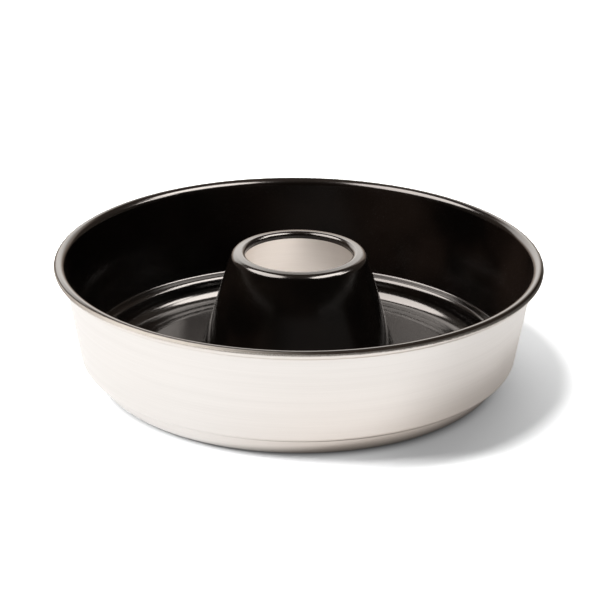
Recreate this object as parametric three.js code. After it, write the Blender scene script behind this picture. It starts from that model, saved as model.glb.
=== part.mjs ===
// Ring mould: a pan pressed from one aluminium sheet, with a rolled rim, a set-in foot and an open
// centre cone, and the ceramic coating that lines it. Millimetres, +Z up. The origin lies on the
// axis, in the plane that the pan stands on.

import * as THREE from 'three';

// Driving dimensions. Radii and heights are those of the bare metal, and angles are in degrees.
const sheet = 1.0;             // thickness of the aluminium sheet
const coatThickness = 0.3;     // thickness of the ceramic coating
const coatClearance = 0.05;    // parting between the coating and the metal

const rimRadius = 124.65;      // outermost point of the rolled rim
const rimHeight = 63.2;        // top of the rolled rim above the base
const curlBore = 1.0;          // radius of the hollow inside the rolled edge
const curlGap = 0.45;          // from the rolled edge to the wall that it tucks against
const curlEnd = -150;          // where the rolled edge stops, counted up from straight out
const coatEnd = -10;           // where the coating stops on the rolled edge, counted the same way

const wallTaper = 9.35;        // lean of the wall from upright
const stepHeight = 12.0;       // middle of the step, above the base
const stepDepth = 5.0;         // how far the step sets the foot in, square to the wall
const stepFlat = 0.4;          // straight run of sheet between the step's two bends
const stepSteepest = 80;       // most that the sheet turns at the step
const stepHollow = 1.5;        // coated hollow above the step
const stepEdge = 1.9;          // bare hollow under the step's round edge

const footCorner = 8.75;       // coated hollow between the foot and the floor
const footRing = 4.4;          // width of the flat ring that the pan stands on
const floorRise = 0.8;         // how far the floor stands above that ring
const floorSlope = 5.5;        // width of the slope up to the floor

const coneFoot = 53.0;         // radius of the cone at the floor, in the middle of the sheet
const coneTop = 33.8;          // radius of the cone at its top, in the middle of the sheet
const coneHeight = 65.2;       // top of the cone above the base
const coneHollow = 6.4;        // coated hollow between the floor and the cone
const coneCrown = 2.15;        // bare hollow under the cone's round shoulder
const ringWidth = 5.45;        // from the cone's top to the hem round the opening
const ringTilt = 6.5;          // fall of that ring towards the cone's shoulder, from level
const hemBend = 0.85;          // bare hollow under the edge of the opening
const hemDrop = 3.1;           // how far the hem hangs below the cone's top

const facets = 52;             // flat faces round the axis
const bendStep = 30;           // turn of the sheet between two lines along a bend

// Sizes that follow from those above
const half = sheet / 2;
const lining = coatThickness + coatClearance;
const [taper, tilt] = [wallTaper, ringTilt].map(THREE.MathUtils.degToRad);

// The middle line of the sheet lies in the plane of radius (x) and height (y), and runs from the
// rolled edge to the hem. Each station is a point on it and the normal towards the coated side.
const point = (radius, height) => new THREE.Vector2(radius, height);
const direction = (angle) => point(Math.cos(angle), Math.sin(angle));
const coatedSide = (along) => point(along.y, -along.x);

// Stations round an arc. The coated side faces out of a round edge and into a hollow.
function arc(centre, radius, from, to, faces) {
  const steps = Math.max(1, Math.round(Math.abs(to - from) / THREE.MathUtils.degToRad(bendStep)));
  return Array.from({ length: steps + 1 }, (_, i) => {
    const out = direction(from + (to - from) * i / steps);
    return { at: centre.clone().addScaledVector(out, radius), normal: out.multiplyScalar(faces) };
  });
}

// A bend that rounds off the corner between two straight runs of the sheet
function bend(before, corner, after, radius) {
  const into = corner.clone().sub(before).normalize();
  const away = after.clone().sub(corner).normalize();
  const turn = Math.atan2(into.cross(away), into.dot(away));
  const faces = Math.sign(turn);
  const start = corner.clone().addScaledVector(into, -radius * Math.tan(Math.abs(turn) / 2));
  const out = coatedSide(into).multiplyScalar(faces);
  const centre = start.addScaledVector(out, -radius);
  return arc(centre, radius, out.angle(), out.angle() + turn, faces);
}

// A slight crease, mitred so that the sheet keeps its thickness
function crease(before, corner, after) {
  const into = coatedSide(corner.clone().sub(before).normalize());
  const away = coatedSide(after.clone().sub(corner).normalize());
  const normal = into.clone().add(away);
  return [{ at: corner, normal: normal.multiplyScalar(1 / (1 + into.dot(away))) }];
}

// Rolled rim: a small round curl outside, and a larger round crown that leads into the wall
const curlRadius = curlBore + half;
const crownRadius = curlBore + sheet + curlGap + half;
const rimCentre = rimRadius - half - curlRadius;
const curlCentre = point(rimCentre, rimHeight - half - curlRadius);
const crownCentre = point(rimCentre, rimHeight - half - crownRadius);
const [curlStart, coatStart] = [curlEnd, coatEnd].map(THREE.MathUtils.degToRad);
const bareCurl = arc(curlCentre, curlRadius, curlStart, coatStart, 1);
const coatedCurl = arc(curlCentre, curlRadius, coatStart, Math.PI / 2, 1);
const crown = arc(crownCentre, crownRadius, Math.PI / 2, Math.PI - taper, 1);

// Wall, step and foot: the step is two opposite bends with a straight run between them, which
// grows longer once the bends are at their steepest
const wallTop = crown.at(-1).at;
const wallAt = (height) => point(wallTop.x - (wallTop.y - height) * Math.tan(taper), height);
const hollowRadius = stepHollow + lining + half;
const edgeRadius = stepEdge + half;
const bends = hollowRadius + edgeRadius;
const steepest = THREE.MathUtils.degToRad(stepSteepest);
const beyondBends = (stepDepth - bends) / Math.hypot(bends, stepFlat);
const stepTurn = Math.min(steepest, Math.atan2(bends, stepFlat) + Math.asin(Math.min(1, beyondBends)));
const straight = (stepDepth - bends * (1 - Math.cos(stepTurn))) / Math.sin(stepTurn);
const stepRun = bends * Math.tan(stepTurn / 2) + straight;
const stepAlong = direction(-Math.PI / 2 - taper - stepTurn).multiplyScalar(stepRun);
const stepUpper = wallAt(stepHeight - stepAlong.y / 2);
const stepLower = stepUpper.clone().add(stepAlong);

// Floor: a flat ring to stand on, a slope, and the floor that the slope lifts clear
const footRadius = footCorner + lining + half;
const footFloor = point(stepLower.x - (stepLower.y - half) * Math.tan(taper), half);
const flatEdge = footFloor.x - footRadius * Math.tan((Math.PI / 2 - taper) / 2);
const slopeFoot = point(flatEdge - footRing, half);
const slopeHead = point(slopeFoot.x - floorSlope, half + floorRise);

// Cone: up from the floor, over a ring that falls outwards, and down into the opening as a hem.
// The bend into the hem is the cone's highest point.
const coneBase = point(coneFoot, slopeHead.y);
const hemRadius = hemBend + half;
const lipRise = hemRadius * (Math.tan((Math.PI / 2 + tilt) / 2) - 1);
const lip = point(coneTop - ringWidth, coneHeight - half + lipRise);
const shoulder = point(coneTop, lip.y - ringWidth * Math.tan(tilt));
const hemEnd = point(lip.x, coneHeight - hemDrop);

const lined = [
  ...coatedCurl,
  ...crown.slice(1),
  ...bend(wallTop, stepUpper, stepLower, hollowRadius),
  ...bend(stepUpper, stepLower, footFloor, edgeRadius),
  ...bend(stepLower, footFloor, slopeFoot, footRadius),
  ...crease(footFloor, slopeFoot, slopeHead),
  ...crease(slopeFoot, slopeHead, coneBase),
  ...bend(slopeHead, coneBase, shoulder, coneHollow + lining + half),
  ...bend(coneBase, shoulder, lip, coneCrown + half),
  ...bend(shoulder, lip, hemEnd, hemRadius),
  { at: hemEnd, normal: coatedSide(point(0, -1)) },
];
const whole = [...bareCurl.slice(0, -1), ...lined];

// A layer of the sheet or its coating, between two distances from the middle line, turned round
function layer(stations, near, far) {
  const face = (distance) => stations.map(({ at, normal }) => at.clone().addScaledVector(normal, distance));
  const outline = [...face(far), ...face(near).reverse()];
  return new THREE.LatheGeometry([...outline, outline[0]], facets).rotateX(Math.PI / 2);
}

function piece(name, geometry, colour, roughness, metalness) {
  const material = new THREE.MeshStandardMaterial({ color: colour, roughness, metalness });
  const mesh = new THREE.Mesh(geometry, material);
  mesh.name = name;
  return mesh;
}

const ringMould = new THREE.Group();
ringMould.name = 'ring_mould';
ringMould.add(
  piece('pan_body', layer(whole, -half, half), 0xd9d5d0, 0.34, 1),
  piece('ceramic_coating', layer(lined, half + coatClearance, half + lining), 0x2b2522, 0.16, 0),
);

export default ringMould;
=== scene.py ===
# %% [markdown]
# # A pressed ring mould, dressed in Blender
#
# The part is a round baking pan with an open cone in its middle: one aluminium sheet, bare and satin
# outside, with a dark ceramic coating inside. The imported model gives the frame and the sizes. This
# lesson gives the pan its smooth pressed surfaces, its two finishes, and a small photo studio.

# %% Load the frame
from math import atan2, cos, pi, radians, sin, tan, tau

import bpy
from mathutils import Matrix, Vector


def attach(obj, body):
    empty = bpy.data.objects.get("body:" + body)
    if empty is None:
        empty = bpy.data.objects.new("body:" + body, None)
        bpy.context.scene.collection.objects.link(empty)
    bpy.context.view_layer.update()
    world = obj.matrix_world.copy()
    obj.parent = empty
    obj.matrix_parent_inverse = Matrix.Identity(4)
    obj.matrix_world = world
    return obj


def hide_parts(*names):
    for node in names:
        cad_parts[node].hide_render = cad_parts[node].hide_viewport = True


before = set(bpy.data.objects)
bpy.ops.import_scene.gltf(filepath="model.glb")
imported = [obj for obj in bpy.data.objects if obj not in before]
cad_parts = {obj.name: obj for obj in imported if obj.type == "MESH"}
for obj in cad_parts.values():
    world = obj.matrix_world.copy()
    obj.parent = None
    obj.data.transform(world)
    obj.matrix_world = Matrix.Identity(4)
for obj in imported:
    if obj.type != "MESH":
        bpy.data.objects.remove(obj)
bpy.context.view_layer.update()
mm = 0.001
print("CAD nodes:", sorted(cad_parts))

# %% [markdown]
# ## The sheet, as one middle line
#
# A press bends a sheet but hardly changes its thickness. So the pan is drawn as a single line, the
# middle of the sheet, in the plane of radius and height, and both faces follow from it. The outline
# could also be traced face by face, but then the two faces would drift apart at every bend.
#
# Radii and heights are those of the bare metal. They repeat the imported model's own sizes.

# %% Sizes of the sheet
sheet = 1.0 * mm            # thickness of the aluminium
coat = 0.35 * mm            # from the metal to the face of the coating

rim_radius = 124.65 * mm    # outermost point of the rolled rim
rim_height = 63.2 * mm      # top of the rolled rim
curl_bore = 1.0 * mm        # radius of the hollow inside the rolled edge
curl_gap = 0.45 * mm        # from the rolled edge to the wall
curl_end = radians(-150)    # where the rolled edge stops, counted up from straight out
coat_end = radians(-40)     # where the coating stops on it

wall_taper = radians(9.35)  # lean of the wall
step_height = 12.0 * mm     # middle of the step
step_depth = 5.0 * mm       # how far the step sets the foot in
step_turn = radians(80)     # turn of the sheet at each of the step's bends
step_hollow = 1.5 * mm      # coated hollow above the step
step_edge = 1.9 * mm        # bare hollow under its round edge

foot_corner = 8.75 * mm     # coated hollow between the foot and the floor
foot_ring = 4.4 * mm        # flat ring that the pan stands on
floor_rise = 0.8 * mm       # how far the floor stands above it
floor_slope = 5.5 * mm      # width of the slope up to the floor
crease = 5.0 * mm           # radius of the soft creases at both ends of the slope

cone_foot = 53.0 * mm       # cone at the floor, in the middle of the sheet
cone_top = 33.8 * mm        # cone at its top
cone_height = 65.2 * mm     # top of the cone
cone_hollow = 6.4 * mm      # coated hollow between the floor and the cone
cone_crown = 2.15 * mm      # bare hollow under its round shoulder
ring_width = 5.45 * mm      # from the cone's top to the hem
ring_tilt = radians(6.5)    # fall of that ring towards the shoulder
hem_bend = 0.85 * mm        # bare hollow under the edge of the opening
hem_drop = 3.1 * mm         # how far the hem hangs below the top

half = sheet / 2
print("sheet", sheet / mm, "mm, rim", 2 * rim_radius / mm, "mm across")

# %% [markdown]
# ## Bends and runs
#
# Every station on the line is a point and the normal towards the coated side. A bend rounds the corner
# between two straight runs, with a small step in angle so that reflections stay smooth. A straight run
# gets one extra station close to each end: smooth shading then turns only within the bend, and the run
# itself reflects as a true cone or plane.

# %% Helpers for the middle line
bend_step = radians(5)      # turn between two stations of a bend
fewest_steps = 3            # steps of the slightest bend
settle = 0.35 * mm          # from the end of a bend to the first station on a run
run_step = 8 * mm           # longest stretch of a run without a station


def heading(angle):
    return Vector((cos(angle), sin(angle)))


def coated_side(along):
    return Vector((along.y, -along.x))


def arc(centre, radius, start, end, faces=1):
    """Stations round an arc. The coated side faces out of a round edge, and into a hollow."""
    steps = max(fewest_steps, round(abs(end - start) / bend_step))
    outward = [heading(start + (end - start) * i / steps) for i in range(steps + 1)]
    return [(centre + radius * out, faces * out) for out in outward]


def bend(before, corner, after, radius):
    """Stations of the bend at a corner between two runs."""
    into = (corner - before).normalized()
    away = (after - corner).normalized()
    turn = atan2(into.cross(away), into.dot(away))
    faces = 1 if turn > 0 else -1
    out = faces * coated_side(into)
    centre = corner - radius * tan(abs(turn) / 2) * into - radius * out
    first = atan2(out.y, out.x)
    return arc(centre, radius, first, first + turn, faces)


def with_runs(stations):
    """The same stations, with more of them along the straight runs."""
    line = [stations[0]]
    for (start, normal), (end, end_normal) in zip(stations, stations[1:]):
        length = (end - start).length
        inner = length - 2 * settle
        if inner > settle:
            pieces = max(1, round(inner / run_step))
            ways = [settle + inner * i / pieces for i in range(pieces + 1)]
            line += [(start.lerp(end, way / length), normal) for way in ways]
        line.append((end, end_normal))
    return line


print("a square bend takes", len(arc(Vector((0, 0)), sheet, 0, pi / 2)), "stations")

# %% [markdown]
# ## The rolled rim and the wall
#
# The edge of the sheet is rolled outwards, which stiffens the pan and hides its cut edge. One circle
# could make the roll, but the curl has to clear the wall that it tucks against. So there are two arcs
# that meet on the crest: a small one for the curl, and a wider one that leads down into the wall.

# %% The rolled rim and the wall
curl_radius = curl_bore + half
crown_radius = curl_bore + sheet + curl_gap + half
rim_centre = rim_radius - half - curl_radius
curl_centre = Vector((rim_centre, rim_height - half - curl_radius))
crown_centre = Vector((rim_centre, rim_height - half - crown_radius))
bare_curl = arc(curl_centre, curl_radius, curl_end, coat_end)
coated_curl = arc(curl_centre, curl_radius, coat_end, pi / 2)
crown = arc(crown_centre, crown_radius, pi / 2, pi - wall_taper)
wall_top = crown[-1][0]


def wall_at(height):
    return Vector((wall_top.x - (wall_top.y - height) * tan(wall_taper), height))


print("wall runs down from", [round(c / mm, 2) for c in wall_top])

# %% [markdown]
# ## The step, the foot and the floor
#
# Near the base the wall steps in to a narrower foot, and a wide bend leads from there to the floor. The
# step is two opposite bends with a short straight run between them. Its corners could be placed by eye,
# but here the run is worked out from the depth of the step and from both radii, so the bends always
# meet it cleanly. The pan stands on a flat ring, and a slope lifts the floor clear inside it.

# %% The step, the foot and the floor
hollow_radius = step_hollow + coat + half
edge_radius = step_edge + half
bends = hollow_radius + edge_radius
step_run = bends * tan(step_turn / 2) + (step_depth - bends * (1 - cos(step_turn))) / sin(step_turn)
step_along = step_run * heading(-pi / 2 - wall_taper - step_turn)
step_upper = wall_at(step_height - step_along.y / 2)
step_lower = step_upper + step_along

foot_radius = foot_corner + coat + half
foot_floor = Vector((step_lower.x - (step_lower.y - half) * tan(wall_taper), half))
flat_edge = foot_floor.x - foot_radius * tan((pi / 2 - wall_taper) / 2)
slope_foot = Vector((flat_edge - foot_ring, half))
slope_head = Vector((slope_foot.x - floor_slope, half + floor_rise))
print("stands on a ring from", round(slope_foot.x / mm, 2), "to", round(flat_edge / mm, 2), "mm radius")

# %% [markdown]
# ## The cone, and the whole line
#
# In the middle the sheet rises again as an open cone. Its top is a narrow ring that falls outwards and
# turns down into the opening as a hem. The cone could be a mesh of its own, but on the real pan it is
# the same sheet, so it goes on along the same line and no seam shows.

# %% The cone, and the whole line
cone_base = Vector((cone_foot, slope_head.y))
hem_radius = hem_bend + half
lip_rise = hem_radius * (tan((pi / 2 + ring_tilt) / 2) - 1)
lip = Vector((cone_top - ring_width, cone_height - half + lip_rise))
shoulder = Vector((cone_top, lip.y - ring_width * tan(ring_tilt)))
hem_end = Vector((lip.x, cone_height - hem_drop))

lined = with_runs([
    *coated_curl,
    *crown[1:],
    *bend(wall_top, step_upper, step_lower, hollow_radius),
    *bend(step_upper, step_lower, foot_floor, edge_radius),
    *bend(step_lower, foot_floor, slope_foot, foot_radius),
    *bend(foot_floor, slope_foot, slope_head, crease),
    *bend(slope_foot, slope_head, cone_base, crease),
    *bend(slope_head, cone_base, shoulder, cone_hollow + coat + half),
    *bend(cone_base, shoulder, lip, cone_crown + half),
    *bend(shoulder, lip, hem_end, hem_radius),
    (hem_end, coated_side(Vector((0, -1)))),
])
whole = bare_curl[:-1] + lined
print(len(whole), "stations along the sheet,", len(lined), "of them coated")

# %% [markdown]
# ## Turning the section
#
# A body of revolution could be a Screw modifier or a bmesh spin. Here the closed half-section is copied
# round the axis and its copies are joined by quads, which takes one pass and leaves no doubled vertices
# to merge. The steps are fine enough for a smooth silhouette.

# %% Turn a closed section
around = 232                # steps round the axis
sharp = radians(38)         # edges that turn more than this stay sharp


def turned(name, section):
    """A ring of quads for every edge of the section, with the section's left side as the outside."""
    spokes = [heading(tau * k / around) for k in range(around)]
    corners = [(point.x * spoke.x, point.x * spoke.y, point.y) for point in section for spoke in spokes]
    faces = []
    for row in range(len(section)):
        here = row * around
        there = (row + 1) % len(section) * around
        for k in range(around):
            after = (k + 1) % around
            faces.append((here + k, here + after, there + after, there + k))
    mesh = bpy.data.meshes.new(name)
    mesh.from_pydata(corners, [], faces)
    mesh.shade_smooth()
    mesh.set_sharp_from_angle(angle=sharp)
    piece = bpy.data.objects.new(name, mesh)
    bpy.context.collection.objects.link(piece)
    print(name, len(mesh.polygons), "faces")
    return piece


print("each step turns", round(360 / around, 2), "degrees")

# %% [markdown]
# ## The aluminium pan
#
# The metal lies half a sheet to each side of the whole line. A Solidify modifier could thicken a single
# face, but it would leave the cut edges square. Here half-rounds close the section at the edge of the
# curl and at the end of the hem, as deburred metal is.

# %% The aluminium pan
edge_steps = 4              # facets round a cut edge


def cut_edge(station, outwards):
    """Points round the cut edge of the sheet, from its coated face to its bare face."""
    at, normal = station
    turns = [pi * i / edge_steps for i in range(1, edge_steps)]
    return [at + half * (cos(turn) * normal + sin(turn) * outwards) for turn in turns]


def run_out(station, neighbour):
    return (station[0] - neighbour[0]).normalized()


coated_face = [at + half * normal for at, normal in whole]
bare_face = [at - half * normal for at, normal in whole]
hem_edge = cut_edge(whole[-1], run_out(whole[-1], whole[-2]))
curl_edge = cut_edge(whole[0], run_out(whole[0], whole[1]))
pan = turned("aluminium_pan", coated_face + hem_edge + bare_face[::-1] + curl_edge[::-1])
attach(pan, "root")
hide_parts("pan_body")

# %% [markdown]
# ## The ceramic lining
#
# The coating covers the inside, wraps over the rim, and runs over the cone to the opening. It could be
# a colour on the metal, but as a closed skin of its own it has its own gloss. It is sprayed, so it thins
# out to almost nothing at both of its ends instead of stopping in a step.

# %% The ceramic lining
feather = 1.8 * mm          # stretch over which the coating thins out
film = 0.02 * mm            # thickness left at its edge


def smooth(share):
    """A soft change from 0 to 1."""
    share = max(0.0, min(1.0, share))
    return share * share * (3 - 2 * share)


def coat_thickness(stations):
    """How thick the coating is at each station: full, but thinned towards both ends."""
    travel = [0.0]
    for (start, _), (end, _) in zip(stations, stations[1:]):
        travel.append(travel[-1] + (end - start).length)
    to_end = [min(way, travel[-1] - way) for way in travel]
    return [film + (coat - film) * smooth(way / feather) for way in to_end]


thickness = coat_thickness(lined)
coat_face = [at + (half + thick) * normal for (at, normal), thick in zip(lined, thickness)]
bond_face = [at + (half + film / 2) * normal for at, normal in lined]
lining = turned("ceramic_lining", coat_face + bond_face[::-1])
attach(lining, "root")
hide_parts("ceramic_coating")

# %% [markdown]
# ## Node helpers
#
# Both finishes are built from nodes, so that they hold at any distance, and small helpers keep that
# short. One adds a node and fills its sockets, and the next ones do arithmetic, soft changes and colour
# mixes. The last two make an empty node group with named sockets, and say where a point lies.

# %% Helpers for nodes
def add(tree, kind, sockets=None, **settings):
    """A shader node. sockets gives each input a value, or the output that feeds it."""
    node = tree.nodes.new("ShaderNode" + kind)
    for name, value in settings.items():
        setattr(node, name, value)
    for socket, value in (sockets or {}).items():
        if isinstance(value, bpy.types.NodeSocket):
            tree.links.new(value, node.inputs[socket])
        else:
            node.inputs[socket].default_value = value
    return node


def calc(tree, operation, *values):
    return add(tree, "Math", dict(enumerate(values)), operation=operation).outputs[0]


def fade(tree, value, low, high, start=0.0, end=1.0):
    """start below low, end above high, and a soft change between them."""
    sockets = {"Value": value, "From Min": low, "From Max": high, "To Min": start, "To Max": end}
    return add(tree, "MapRange", sockets, interpolation_type="SMOOTHSTEP").outputs["Result"]


def blend_colours(tree, factor, first, second):
    """The Mix node's colour sockets share their names with its other sockets, so they go by number."""
    node = add(tree, "Mix", {"Factor": factor}, data_type="RGBA")
    for socket, value in ((node.inputs[6], first), (node.inputs[7], second)):
        if isinstance(value, bpy.types.NodeSocket):
            tree.links.new(value, socket)
        else:
            socket.default_value = (*value, 1)
    return node.outputs[2]


def new_group(name, inputs, outputs):
    """An empty group with number sockets: the group, what it is given, and what it puts out."""
    group = bpy.data.node_groups.new(name, "ShaderNodeTree")
    for label, default in inputs.items():
        socket = group.interface.new_socket(label, in_out="INPUT", socket_type="NodeSocketFloat")
        socket.default_value = default
    for label in outputs:
        group.interface.new_socket(label, in_out="OUTPUT", socket_type="NodeSocketFloat")
    return group, group.nodes.new("NodeGroupInput").outputs, group.nodes.new("NodeGroupOutput").inputs


def radius_and_height(tree):
    """Where a point lies: its radius, its height, and the direction from the axis as x and y."""
    place = add(tree, "SeparateXYZ", {0: add(tree, "TexCoord").outputs["Object"]}).outputs
    x_squared = calc(tree, "MULTIPLY", place["X"], place["X"])
    y_squared = calc(tree, "MULTIPLY", place["Y"], place["Y"])
    radius = calc(tree, "SQRT", calc(tree, "ADD", x_squared, y_squared))
    east = calc(tree, "DIVIDE", place["X"], radius)
    north = calc(tree, "DIVIDE", place["Y"], radius)
    return radius, place["Z"], east, north


# %% [markdown]
# ## Lines from turning
#
# The pan was spun against a tool and brushed, which leaves fine lines that run round it. Stretched
# noise gives them: it changes fast with radius and height, and slowly round the axis. The direction
# goes in as x and y, not as an angle, so there is no seam where an angle would jump from one end to the
# other. The metal shows these lines, and the coating carries a trace of them, so they are a shared
# group.

# %% Group: lines round the axis
spun_lines, given, result = new_group("spun_lines", {"Spacing": 0.4 * mm, "Wander": 1.0}, ["Lines"])
radius, height, east, north = radius_and_height(spun_lines)
drift = add(spun_lines, "CombineXYZ", {
    "X": calc(spun_lines, "MULTIPLY", east, given["Wander"]),
    "Y": calc(spun_lines, "MULTIPLY", north, given["Wander"]),
    "Z": calc(spun_lines, "DIVIDE", height, given["Spacing"]),
})
streaks = add(spun_lines, "TexNoise", {
    "Vector": drift.outputs[0],
    "W": calc(spun_lines, "DIVIDE", radius, given["Spacing"]),
    "Scale": 1.0, "Detail": 3.0, "Roughness": 0.65,
}, noise_dimensions="4D")
spun_lines.links.new(streaks.outputs[0], result["Lines"])
print(spun_lines.name, "group has", len(spun_lines.nodes), "nodes")

# %% [markdown]
# ## The sprayed edge
#
# The coating is sprayed on, so on the rolled rim it doesn't stop at a line. It is glossy over the
# crest. Past the crest the spray lands dry, as a matte powder, and next to the gloss a painted dark line
# stands in for the gloss's dark reflection. The powder thins out downwards and breaks up into specks
# until the metal is bare. At the right the cover reaches further down, and at the front right the powder
# is painted darker, as shade on the side that faces away from the key light. At the left end the gloss
# and the powder reach further down, and the powder is darker there.
#
# The group gives three masks: how well the metal is covered, where the spray is dry, and where the
# powder is painted darker. Both materials read it with the same values, so the specks run on from one
# piece to the other.
# A painted image could hold the same edge, but it would blur close up.

# %% Group: overspray, the cover
speckle = 1.2               # how far the grain moves the edge up or down, counted in fades
breaks_up = 0.6             # from the edge to full cover, or to bare metal, counted in fades
drips_right = 1.6           # how much further down the cover reaches at the right, in fades
drips_left = 0.6            # the same at the left
left_end = (-0.93, -0.6)    # from the left end to the rest of the rim, as the direction's x

overspray, given, result = new_group(
    "overspray",
    {"Edge": 60 * mm, "Fade": 1 * mm, "Grain": 0.3 * mm, "Crest": 100 * mm},
    ["Cover", "Dry", "Darkening"],
)
radius, height, east, north = radius_and_height(overspray)
grain = add(overspray, "TexNoise", {
    "Vector": add(overspray, "TexCoord").outputs["Object"],
    "Scale": calc(overspray, "DIVIDE", 1.0, given["Grain"]),
    "Detail": 2.0,
}).outputs[0]
above = calc(overspray, "DIVIDE", calc(overspray, "SUBTRACT", height, given["Edge"]), given["Fade"])
ragged = calc(overspray, "ADD", above, calc(overspray, "MULTIPLY_ADD", grain, 2 * speckle, -speckle))
drip = calc(overspray, "MAXIMUM", calc(overspray, "MULTIPLY", east, drips_right),
            calc(overspray, "MULTIPLY", east, -drips_left))
far_left = fade(overspray, east, *left_end, 1.0, 0.0)
lowered = calc(overspray, "ADD", ragged, calc(overspray, "ADD", drip, far_left))
inside_crest = calc(overspray, "LESS_THAN", radius, given["Crest"])
cover = calc(overspray, "MAXIMUM", fade(overspray, lowered, -breaks_up, breaks_up), inside_crest)
overspray.links.new(cover, result["Cover"])
print("the cover takes", len(overspray.nodes), "nodes")

# %% Group: overspray, dry powder and powder painted darker
gloss_ends = (0.6 * mm, 1.0 * mm)   # from wet to dry, measured outwards from the crest
gloss_further = 0.7 * mm            # how much further the gloss reaches at the left end
dark_line = (0.9 * mm, 1.3 * mm)    # where the painted dark line next to the gloss ends
line_darkness = 0.6                  # how dark that line is painted
left_darkness = 0.55                 # what the left end adds to that
shade_facing = (0.64, -0.77)           # direction to the front right, where the powder is painted darker as shade
shade_spread = (0.4, 0.85)           # from beside that place to straight at it
front_shade_ends = (1.6 * mm, 2.4 * mm)   # where the front right's painted shade thins out
front_shade_remains = 0.4                 # share of it that remains further down

from_crest = calc(overspray, "SUBTRACT", radius, given["Crest"])
past_wet = calc(overspray, "MULTIPLY_ADD", far_left, -gloss_further, from_crest)
overspray.links.new(fade(overspray, past_wet, *gloss_ends), result["Dry"])
# a painted dark line next to the gloss, standing in for the gloss's dark reflection
next_to_wet = fade(overspray, past_wet, *dark_line, line_darkness, 0.0)
line_and_left = calc(overspray, "MULTIPLY_ADD", far_left, left_darkness, next_to_wet)
# painted shade: the powder is darker towards the front right, the side that faces away from the key light
towards = calc(overspray, "MULTIPLY_ADD", north, shade_facing[1],
               calc(overspray, "MULTIPLY", east, shade_facing[0]))
downwards = fade(overspray, from_crest, *front_shade_ends, 1.0, front_shade_remains)
front_right_shade = calc(overspray, "MULTIPLY", fade(overspray, towards, *shade_spread), downwards)
# the darkening mask: painted shade at the front right, the painted dark line, and darker powder at the
# left end
overspray.links.new(calc(overspray, "MAXIMUM", front_right_shade, line_and_left), result["Darkening"])
print(overspray.name, "group has", len(overspray.nodes), "nodes")

# %% [markdown]
# ## Brushed aluminium
#
# The outside is bare metal with a satin brushed finish: bright, slightly warm, and stretched in its
# reflections because all the lines run one way. A strong bump could stretch them, but it would sparkle.
# Anisotropy on the shader does it cleanly, and the lines themselves vary the colour, the roughness and
# a very fine bump.

# %% Helpers for materials
def new_material(name):
    material = bpy.data.materials.new(name)
    material.use_nodes = True
    tree = material.node_tree
    return material, tree, tree.nodes["Principled BSDF"]


def fill(tree, group, values):
    """A node group placed in a material with its own values."""
    node = tree.nodes.new("ShaderNodeGroup")
    node.node_tree = group
    for label, value in values.items():
        node.inputs[label].default_value = value
    return node.outputs


def dress(piece, material):
    piece.data.materials.append(material)
    print(piece.name, "has", material.name, "with", len(material.node_tree.nodes), "nodes")


# %% Material: brushed aluminium
sprayed_edge = {
    "Edge": curl_centre.y + 1.1 * mm,
    "Fade": 0.8 * mm,
    "Grain": 0.35 * mm,
    "Crest": rim_centre,
}
thin_powder = (0.58, 0.52, 0.46)
# powder painted darker, as painted shade and as a painted dark line beside the gloss
painted_dark_powder = (0.035, 0.026, 0.02)
dull_metal = (0.78, 0.745, 0.715)
bright_metal = (0.82, 0.785, 0.755)
noise_span = (0.3, 0.7)             # most of the noise lies between these
metal_roughness = (0.36, 0.29)      # of dull lines and of bright ones


def brushed_aluminium():
    material, tree, shader = new_material("brushed_aluminium")
    fine = fill(tree, spun_lines, {"Spacing": 0.35 * mm, "Wander": 2.5})["Lines"]
    broad = fill(tree, spun_lines, {"Spacing": 3.2 * mm, "Wander": 0.8})["Lines"]
    lines = calc(tree, "MULTIPLY_ADD", broad, 0.5, calc(tree, "MULTIPLY", fine, 0.5))
    metal = blend_colours(tree, fade(tree, lines, *noise_span), dull_metal, bright_metal)
    spray = fill(tree, overspray, sprayed_edge)
    dust = calc(tree, "MULTIPLY", spray["Cover"], spray["Dry"])
    # where the overspray's darkening mask says, the powder is painted darker, as painted shade
    powder = blend_colours(tree, spray["Darkening"], thin_powder, painted_dark_powder)
    tree.links.new(blend_colours(tree, dust, metal, powder), shader.inputs["Base Color"])
    tree.links.new(fade(tree, dust, 0.0, 1.0, 1.0, 0.0), shader.inputs["Metallic"])
    tree.links.new(fade(tree, lines, *noise_span, *metal_roughness), shader.inputs["Roughness"])
    shader.inputs["Anisotropic"].default_value = 0.55
    tangent = add(tree, "Tangent", direction_type="RADIAL", axis="Z")
    tree.links.new(tangent.outputs[0], shader.inputs["Tangent"])
    bump = add(tree, "Bump", {"Strength": 0.12, "Distance": 0.02 * mm, "Height": fine})
    tree.links.new(bump.outputs[0], shader.inputs["Normal"])
    return material


dress(pan, brushed_aluminium())

# %% [markdown]
# ## Dark ceramic
#
# The coating is a brown-black sol-gel ceramic with a wet gloss. The pigment itself doesn't shine: all
# of the gloss is the shader's coat layer, which ends where the spray is dry. One glossy layer would do
# for the inside, but the rim needs gloss and matte powder in the same material. A weak bump carries the
# sprayed film's slight orange peel and a trace of the spun lines below it.

# %% Material: dark ceramic
black_pigment = (0.0012, 0.0008, 0.0006)
brown_pigment = (0.0095, 0.006, 0.0045)
bare_metal = (0.76, 0.715, 0.675)   # between the specks, where the film has run out
cloud_span = (0.35, 0.65)           # from black to brown
pigment_roughness = (0.28, 0.34)    # of black clouds and of brown ones
peel_share = 0.35                   # weight of the orange peel beside the spun lines


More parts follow.
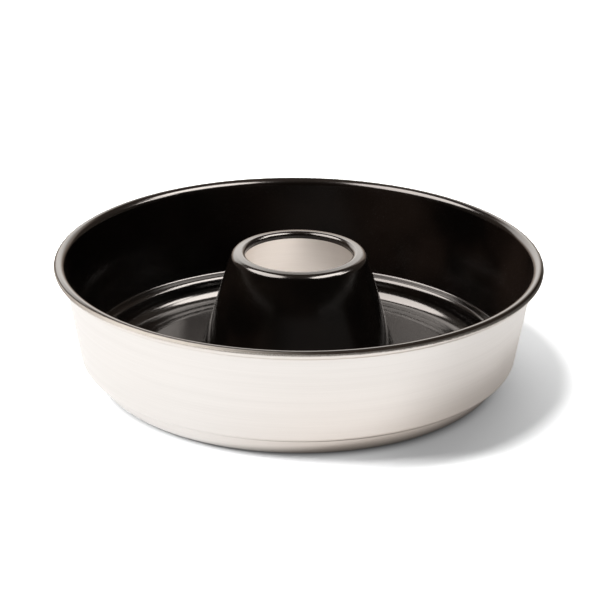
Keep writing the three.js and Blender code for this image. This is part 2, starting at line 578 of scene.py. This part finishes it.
def dark_ceramic():
    material, tree, shader = new_material("dark_ceramic")
    place = add(tree, "TexCoord").outputs["Object"]
    cloud = add(tree, "TexNoise", {"Vector": place, "Scale": 16.0, "Detail": 3.0}).outputs[0]
    pigment = blend_colours(tree, fade(tree, cloud, *cloud_span), black_pigment, brown_pigment)
    spray = fill(tree, overspray, sprayed_edge)
    # where the overspray's darkening mask says, the powder is painted darker, as painted shade
    powder = blend_colours(tree, spray["Darkening"], thin_powder, painted_dark_powder)
    sprayed = blend_colours(tree, spray["Dry"], pigment, powder)
    bare = calc(tree, "SUBTRACT", 1.0, spray["Cover"])
    tree.links.new(blend_colours(tree, bare, sprayed, bare_metal), shader.inputs["Base Color"])
    tree.links.new(bare, shader.inputs["Metallic"])
    tree.links.new(fade(tree, cloud, *noise_span, *pigment_roughness), shader.inputs["Roughness"])
    shader.inputs["Specular IOR Level"].default_value = 0.0
    tree.links.new(calc(tree, "SUBTRACT", 1.0, spray["Dry"]), shader.inputs["Coat Weight"])
    shader.inputs["Coat Roughness"].default_value = 0.15
    shader.inputs["Coat IOR"].default_value = 1.5
    peel = add(tree, "TexNoise", {"Vector": place, "Scale": 700.0, "Detail": 2.0}).outputs[0]
    lines = fill(tree, spun_lines, {"Spacing": 0.9 * mm, "Wander": 0.8})["Lines"]
    relief = calc(tree, "MULTIPLY_ADD", peel, peel_share, lines)
    bump = add(tree, "Bump", {"Strength": 0.02, "Distance": 0.03 * mm, "Height": relief})
    tree.links.new(bump.outputs[0], shader.inputs["Normal"])
    return material


dress(lining, dark_ceramic())

# %% [markdown]
# ## The floor
#
# The pan stands on a white sweep. Its paint takes the shadow, and it is brighter for the camera than
# for the pan, as white paper is in a photograph that is exposed for a dark pan. More light would whiten
# the floor too, but it would also wash out the pan. So the floor glows instead, only for the camera and
# for reflections, and puts no light on matte surfaces.
#
# The glow keeps the shadow light, evens out the floor that the satin metal mirrors, lights the cone
# from below, and makes the far floor white. Close to the foot the glow fades out, and for the camera the
# paint loses its extra brightness there, which paints a dark shadow line where the pan stands. In
# reflections the glow is painted light and shade: brighter on the lit side, at the left, and dimmer and
# warmer on the shaded side.

# %% The floor in reflections
mirror_glow = 0.63                  # even brightness of the floor
lit_glow = 0.83                     # the same close to the pan, on the lit side
shade_glow = 0.31                   # and on the side that the shadow falls to
lit_side = (-0.6, 0.2)              # from the lit side to the other one, as the direction's x
shaded_side = (0.4, 1.0)            # into the shaded side
lit_reach = (108 * mm, 128 * mm)    # radii over which the lit side's brightness ends
shade_reach = (115 * mm, 170 * mm)  # and over which most of the shade ends
far_shade = 0.25                    # share of the shade beyond that
gap_side = (-0.8, 0.5)              # from the narrow dark line along the foot to the wide one
lit_gap = 6 * mm                    # width of the painted dark line along the foot on the lit side
shaded_gap = 25 * mm                # and on the shaded side


def mirrored_floor(tree, radius, east):
    """How bright the satin metal sees the floor: a glow with painted light on the lit side, painted shade
    on the shaded side and a painted dark line along the foot.
    """
    shaded = calc(tree, "MULTIPLY", fade(tree, east, *shaded_side),
                  fade(tree, radius, *shade_reach, 1.0, far_shade))
    lit = calc(tree, "MULTIPLY", fade(tree, east, *lit_side, 1.0, 0.0),
               fade(tree, radius, *lit_reach, 1.0, 0.0))
    dimmed = calc(tree, "MULTIPLY_ADD", shaded, shade_glow - mirror_glow, mirror_glow)
    level = calc(tree, "MULTIPLY_ADD", lit, lit_glow - mirror_glow, dimmed)
    gap = fade(tree, east, *gap_side, lit_gap, shaded_gap)
    clear_of_foot = fade(tree, radius, flat_edge, calc(tree, "ADD", gap, flat_edge))
    return calc(tree, "MULTIPLY", level, clear_of_foot)


print("the floor glows", shade_glow, "to", lit_glow, "in reflections")

# %% The floor's tint in reflections
plain_white = (1, 1, 1)
lit_white = (1, 0.995, 0.985)
warm_white = (1, 0.905, 0.825)
warm_reach = (100 * mm, 185 * mm)   # radii over which the warmth ends


def floor_tint(tree, radius, east, below):
    """Warm under the pan and close to it, away from the lit side: a painted warm shade in reflections."""
    beside = calc(tree, "MULTIPLY", fade(tree, east, *lit_side), fade(tree, radius, *warm_reach, 1.0, 0.0))
    return blend_colours(tree, calc(tree, "MAXIMUM", beside, below), lit_white, warm_white)


print("warm white at the foot:", warm_white)

# %% Material: white floor
shadow_reach = 0.26         # radius of the plain lit floor
white_reach = 0.75          # radius from which the floor is fully white
paint_white = 0.45          # what the floor's paint sends back to the pan
overexposed = 1.7           # the same for the camera, which clips the lit floor to white
contact = 11 * mm           # width of the painted dark shadow line along the foot, for the camera
open_glow = 0.55            # brightness for the camera on the lit side
shadow_glow = 0.25          # the same in the shadow, which keeps it light
shadow_side = (0.0, 0.6)    # from the lit side into the shadow, as the direction's x
cone_glow = (0.42, 0.85)    # painted light under the cone's mouth, for the cone's inside to mirror, at the left and at the right
cone_side = (-0.6, 0.6)     # from left to right in there


def white_floor():
    material, tree, shader = new_material("white_floor")
    tree.nodes.remove(shader)
    path = add(tree, "LightPath").outputs
    camera_ray = path["Is Camera Ray"]
    glossy_ray = path["Is Glossy Ray"]
    mirrored_or_through = calc(tree, "MAXIMUM", glossy_ray, path["Is Transmission Ray"])
    seen = calc(tree, "MAXIMUM", camera_ray, mirrored_or_through)
    radius, _, east, _ = radius_and_height(tree)
    far = calc(tree, "MULTIPLY", seen, fade(tree, radius, shadow_reach, white_reach))
    clear = fade(tree, radius, flat_edge, flat_edge + contact)
    shown = calc(tree, "MULTIPLY", clear, fade(tree, east, *shadow_side, open_glow, shadow_glow))
    near = calc(tree, "ADD", calc(tree, "MULTIPLY", glossy_ray, mirrored_floor(tree, radius, east)),
                calc(tree, "MULTIPLY", camera_ray, shown))
    below = fade(tree, radius, cone_foot, flat_edge, 1.0, 0.0)
    under_cone = calc(tree, "MULTIPLY", below, fade(tree, east, *cone_side, *cone_glow))
    cone_light = calc(tree, "MULTIPLY", glossy_ray, under_cone)
    glow = calc(tree, "MAXIMUM", far, calc(tree, "ADD", near, cone_light))
    bright = calc(tree, "MULTIPLY", clear, camera_ray)
    white = calc(tree, "MULTIPLY_ADD", bright, overexposed - paint_white, paint_white)
    paint = add(tree, "BsdfDiffuse", {"Color": white})
    tint = blend_colours(tree, glossy_ray, plain_white, floor_tint(tree, radius, east, below))
    light = add(tree, "Emission", {"Color": tint, "Strength": glow})
    both = add(tree, "AddShader", {0: paint.outputs[0], 1: light.outputs[0]})
    tree.links.new(both.outputs[0], tree.nodes["Material Output"].inputs["Surface"])
    return material


# %% Floor
floor_half = 6.0            # half of the floor's side
floor_mesh = bpy.data.meshes.new("floor")
corners = [(x * floor_half, y * floor_half, 0) for x, y in ((-1, -1), (1, -1), (1, 1), (-1, 1))]
floor_mesh.from_pydata(corners, [], [(0, 1, 2, 3)])
floor = bpy.data.objects.new("floor", floor_mesh)
bpy.context.collection.objects.link(floor)
dress(floor, white_floor())

# %% [markdown]
# ## Studio light
#
# Gloss and shade are lit by lamps of their own, because the photograph has broad highlights and a
# shadow with a crisp edge, and one lamp can't give both. Two large oval softboxes and a low strip on
# the right show in reflections only. A small key high on the left throws the shadow to the right, and a
# lower lamp on that side brightens the wall: these two don't show in reflections. An area light's power
# is worked out from the brightness that its face should show, so that the level stays plain.

# %% Lamps
warm_light = (1, 0.92, 0.86)


def direction_to(azimuth, elevation):
    """Azimuth 0 is straight behind the pan, and it grows to the right."""
    out = radians(azimuth)
    up = radians(elevation)
    return Vector((sin(out) * cos(up), cos(out) * cos(up), sin(up)))


def oval_lamp(name, azimuth, elevation, width, height, brightness, distance=2.0):
    """An oval lamp that faces the pan. Width and height are the angles that it fills from there."""
    lamp = bpy.data.lights.new(name, "AREA")
    lamp.shape = "ELLIPSE"
    lamp.size = 2 * distance * tan(radians(width / 2))
    lamp.size_y = 2 * distance * tan(radians(height / 2))
    face = pi * lamp.size * lamp.size_y / 4
    lamp.energy = brightness * pi * face
    outwards = direction_to(azimuth, elevation)
    head = bpy.data.objects.new(name, lamp)
    head.location = distance * outwards
    head.rotation_euler = outwards.to_track_quat("Z", "Y").to_euler()
    head.visible_camera = False
    bpy.context.collection.objects.link(head)
    print(name, round(lamp.energy, 1), "W")
    return head


left = oval_lamp("left_softbox", azimuth=-95, elevation=56, width=54, height=40, brightness=15)
right = oval_lamp("right_softbox", azimuth=108, elevation=58.5, width=46, height=30, brightness=21)
strip = oval_lamp("right_strip", azimuth=92, elevation=37.5, width=22, height=10, brightness=21)
for softbox in (left, right, strip):
    softbox.data.color = warm_light
    softbox.visible_diffuse = False
key = oval_lamp("key", azimuth=-104, elevation=75.5, width=15, height=15, brightness=29)
low = oval_lamp("low_left", azimuth=-100, elevation=29, width=20, height=20, brightness=30)
for lamp in (key, low):
    lamp.visible_glossy = False
bpy.context.scene.cycles.caustics_reflective = False    # no flecks of light from the gloss

# %% [markdown]
# ## White paper behind, a dark room in front
#
# Behind the pan hangs white paper, which the inner floor and the round edges mirror. The room in front
# is dark, and that is what keeps the glossy inside so black. The paper could be one more lamp, but as a
# part of the world it needs no object, and each of its four edges can have a softness of its own.

# %% The paper
paper_left = (radians(-49), radians(-42))   # the paper's soft edges, in azimuth
paper_right = (radians(28), radians(38))
paper_foot = (radians(3), radians(21))      # and in elevation
paper_top = (radians(30), radians(40.5))
foot_share = 0.2                            # share of its brightness below its foot
paper_dims = (radians(0), radians(24))      # the paper is bright left of this, and dim right of it
paper_levels = (3.6, 1.5)                   # how bright it is there

world = bpy.data.worlds.new("studio")
bpy.context.scene.world = world
world.use_nodes = True
sky = world.node_tree
direction = add(sky, "SeparateXYZ", {0: add(sky, "TexCoord").outputs["Generated"]}).outputs
azimuth = calc(sky, "ARCTAN2", direction["X"], direction["Y"])
elevation = calc(sky, "ARCSINE", direction["Z"])
across = calc(sky, "MULTIPLY", fade(sky, azimuth, *paper_left), fade(sky, azimuth, *paper_right, 1.0, 0.0))
upright = calc(sky, "MULTIPLY", fade(sky, elevation, *paper_foot, foot_share, 1.0),
               fade(sky, elevation, *paper_top, 1.0, 0.0))
paper_level = fade(sky, azimuth, *paper_dims, *paper_levels)
paper = calc(sky, "MULTIPLY", calc(sky, "MULTIPLY", across, upright), paper_level)
print("the paper takes", len(sky.nodes), "nodes")

# %% The room
room_turns = (-0.3, 0.3)                    # from the front of the room to its back, as the direction's y
room_levels = (0.04, 0.18)                  # how bright it is there
ceiling = (radians(45), radians(80))        # where the light overhead starts and is full
ceiling_level = 0.2                         # how bright that is
tint_span = (0.3, 2.8)                      # from the room's tint to the paper's, by brightness
room_tint = (1, 0.78, 0.62)
paper_tint = (1, 0.945, 0.89)

room = fade(sky, direction["Y"], *room_turns, *room_levels)
overhead = fade(sky, elevation, *ceiling, 0.0, ceiling_level)
studio = calc(sky, "MAXIMUM", calc(sky, "ADD", room, overhead), paper)
sky_path = add(sky, "LightPath").outputs
sky_tint = blend_colours(sky, fade(sky, paper, *tint_span), room_tint, paper_tint)
sky_colour = blend_colours(sky, sky_path["Is Glossy Ray"], plain_white, sky_tint)
background = sky.nodes["Background"]
sky.links.new(sky_colour, background.inputs["Color"])
sky.links.new(calc(sky, "MAXIMUM", studio, sky_path["Is Camera Ray"]), background.inputs["Strength"])
print(world.name, "has", len(sky.nodes), "nodes")

# %% [markdown]
# ## The camera
#
# The photograph was taken with a long lens from about a metre, looking down at about 23 degrees. A
# camera could be placed by hand, but these numbers come from the rim, the step, the foot and the cone's
# top, whose ovals say how far away and how high it stood. It is set by its distance, its height angle
# and a slight roll, and aims at a point close to the axis.

# %% Camera
photo_side = 600                            # pixels along a side of the photograph
focal_pixels = 1966.0                       # focal length, counted in those pixels
view_distance = 1.02                        # from the pivot to the camera
view_elevation = radians(22.745)
view_roll = radians(0.574)
pivot = Vector((0, 0, 30 * mm))
aim = Vector((0.81 * mm, 0, 38.48 * mm))

lens = bpy.data.cameras.new("camera")
lens.sensor_width = 36
lens.lens = focal_pixels / photo_side * lens.sensor_width
camera = bpy.data.objects.new("camera", lens)
camera.location = pivot + view_distance * Vector((0, -cos(view_elevation), sin(view_elevation)))
without_roll = (aim - camera.location).to_track_quat("-Z", "Y").to_matrix()
camera.rotation_euler = (without_roll @ Matrix.Rotation(view_roll, 3, "Z")).to_euler()
bpy.context.collection.objects.link(camera)
bpy.context.scene.camera = camera
bpy.context.scene.view_settings.view_transform = "Standard"
print("lens", round(lens.lens, 1), "mm")
